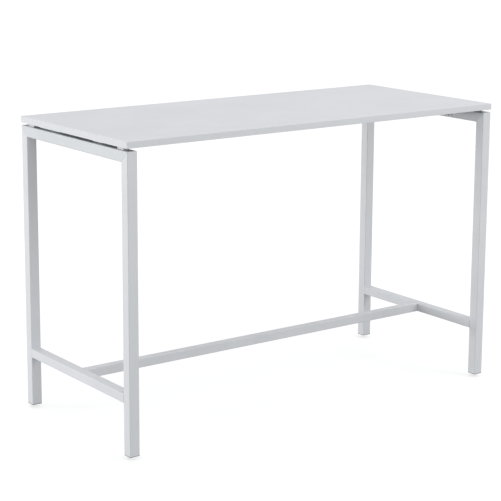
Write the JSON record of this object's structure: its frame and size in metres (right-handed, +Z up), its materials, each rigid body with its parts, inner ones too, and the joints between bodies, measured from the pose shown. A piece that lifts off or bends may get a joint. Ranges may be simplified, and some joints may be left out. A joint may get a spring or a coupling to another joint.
{
  "type": "standing meeting table",
  "caption": "High rectangular meeting table: a flat top held on spacers above two mitred square-tube side frames, joined by a low stretcher, on levelling feet.",
  "frame": {"origin": "on the floor, under the centre of the top", "axes": "+X along the table's length, +Y across its depth from the front to the rear, +Z up"},
  "size_m": [1.6, 0.7, 1.05],
  "materials": {
    "top_board": "light grey-white melamine facing on particle board, satin",
    "edge_band": "light grey-white plastic edge strip, satin",
    "frame_coating": "light grey-white powder coat on steel, fine texture, satin",
    "zinc_steel": "zinc-plated",
    "burnished_steel": "burnished grey steel",
    "spacer_plastic": "light grey plastic",
    "plug_plastic": "dark grey plastic",
    "pad_plastic": "grey plastic"
  },
  "bodies": {
    "table": {"top_panel": "top_board", "edge_band_front": "edge_band", "edge_band_rear": "edge_band", "edge_band_left": "edge_band", "edge_band_right": "edge_band", "leg_front_left": "frame_coating", "leg_front_right": "frame_coating", "leg_rear_left": "frame_coating", "leg_rear_right": "frame_coating", "top_rail_left": "frame_coating", "top_rail_right": "frame_coating", "cross_rail_left": "frame_coating", "cross_rail_right": "frame_coating", "stretcher": "frame_coating", "beam_front": "frame_coating", "beam_rear": "frame_coating", "beam_end_plate_front_left": "frame_coating", "beam_end_plate_front_right": "frame_coating", "beam_end_plate_rear_left": "frame_coating", "beam_end_plate_rear_right": "frame_coating", "stretcher_spigot_left": "zinc_steel", "stretcher_spigot_right": "zinc_steel", "beam_screw_front_left": "zinc_steel", "beam_screw_front_right": "zinc_steel", "beam_screw_rear_left": "zinc_steel", "beam_screw_rear_right": "zinc_steel", "top_insert_front_left": "zinc_steel", "top_insert_front_right": "zinc_steel", "top_insert_rear_left": "zinc_steel", "top_insert_rear_right": "zinc_steel", "top_screw_front_left": "zinc_steel", "top_screw_front_right": "zinc_steel", "top_screw_rear_left": "zinc_steel", "top_screw_rear_right": "zinc_steel", "stretcher_set_screw_left": "burnished_steel", "stretcher_set_screw_right": "burnished_steel", "beam_bolt_front_left_1": "burnished_steel", "beam_bolt_front_left_2": "burnished_steel", "beam_bolt_front_right_1": "burnished_steel", "beam_bolt_front_right_2": "burnished_steel", "beam_bolt_rear_left_1": "burnished_steel", "beam_bolt_rear_left_2": "burnished_steel", "beam_bolt_rear_right_1": "burnished_steel", "beam_bolt_rear_right_2": "burnished_steel", "top_spacer_front_left": "spacer_plastic", "top_spacer_front_right": "spacer_plastic", "top_spacer_rear_left": "spacer_plastic", "top_spacer_rear_right": "spacer_plastic", "leg_plug_front_left": "plug_plastic", "leg_plug_front_right": "plug_plastic", "leg_plug_rear_left": "plug_plastic", "leg_plug_rear_right": "plug_plastic"},
    "pad_front_left": {"foot_pad_front_left": "pad_plastic"},
    "stem_front_left": {"foot_stem_front_left": "zinc_steel"},
    "pad_front_right": {"foot_pad_front_right": "pad_plastic"},
    "stem_front_right": {"foot_stem_front_right": "zinc_steel"},
    "pad_rear_left": {"foot_pad_rear_left": "pad_plastic"},
    "stem_rear_left": {"foot_stem_rear_left": "zinc_steel"},
    "pad_rear_right": {"foot_pad_rear_right": "pad_plastic"},
    "stem_rear_right": {"foot_stem_rear_right": "zinc_steel"}
  },
  "joints": [
    {"name": "foot_height_front_left", "type": "slide", "parent": "table", "child": "pad_front_left", "axis": [0, 0, -1], "range_m": [0, 0.01]},
    {"name": "foot_turn_front_left", "type": "hinge", "parent": "pad_front_left", "child": "stem_front_left", "pos_m": [-0.7795, -0.3295, 0.004], "axis": [0, 0, -1], "range_deg": [0, 2880]},
    {"name": "foot_height_front_right", "type": "slide", "parent": "table", "child": "pad_front_right", "axis": [0, 0, -1], "range_m": [0, 0.01]},
    {"name": "foot_turn_front_right", "type": "hinge", "parent": "pad_front_right", "child": "stem_front_right", "pos_m": [0.7795, -0.3295, 0.004], "axis": [0, 0, -1], "range_deg": [0, 2880]},
    {"name": "foot_height_rear_left", "type": "slide", "parent": "table", "child": "pad_rear_left", "axis": [0, 0, -1], "range_m": [0, 0.01]},
    {"name": "foot_turn_rear_left", "type": "hinge", "parent": "pad_rear_left", "child": "stem_rear_left", "pos_m": [-0.7795, 0.3295, 0.004], "axis": [0, 0, -1], "range_deg": [0, 2880]},
    {"name": "foot_height_rear_right", "type": "slide", "parent": "table", "child": "pad_rear_right", "axis": [0, 0, -1], "range_m": [0, 0.01]},
    {"name": "foot_turn_rear_right", "type": "hinge", "parent": "pad_rear_right", "child": "stem_rear_right", "pos_m": [0.7795, 0.3295, 0.004], "axis": [0, 0, -1], "range_deg": [0, 2880]}
  ],
  "couplings": [
    {"joint": "foot_turn_front_left", "follows": "foot_height_front_left", "rad_per_m": 5026.5},
    {"joint": "foot_turn_front_right", "follows": "foot_height_front_right", "rad_per_m": 5026.5},
    {"joint": "foot_turn_rear_left", "follows": "foot_height_rear_left", "rad_per_m": 5026.5},
    {"joint": "foot_turn_rear_right", "follows": "foot_height_rear_right", "rad_per_m": 5026.5}
  ]
}
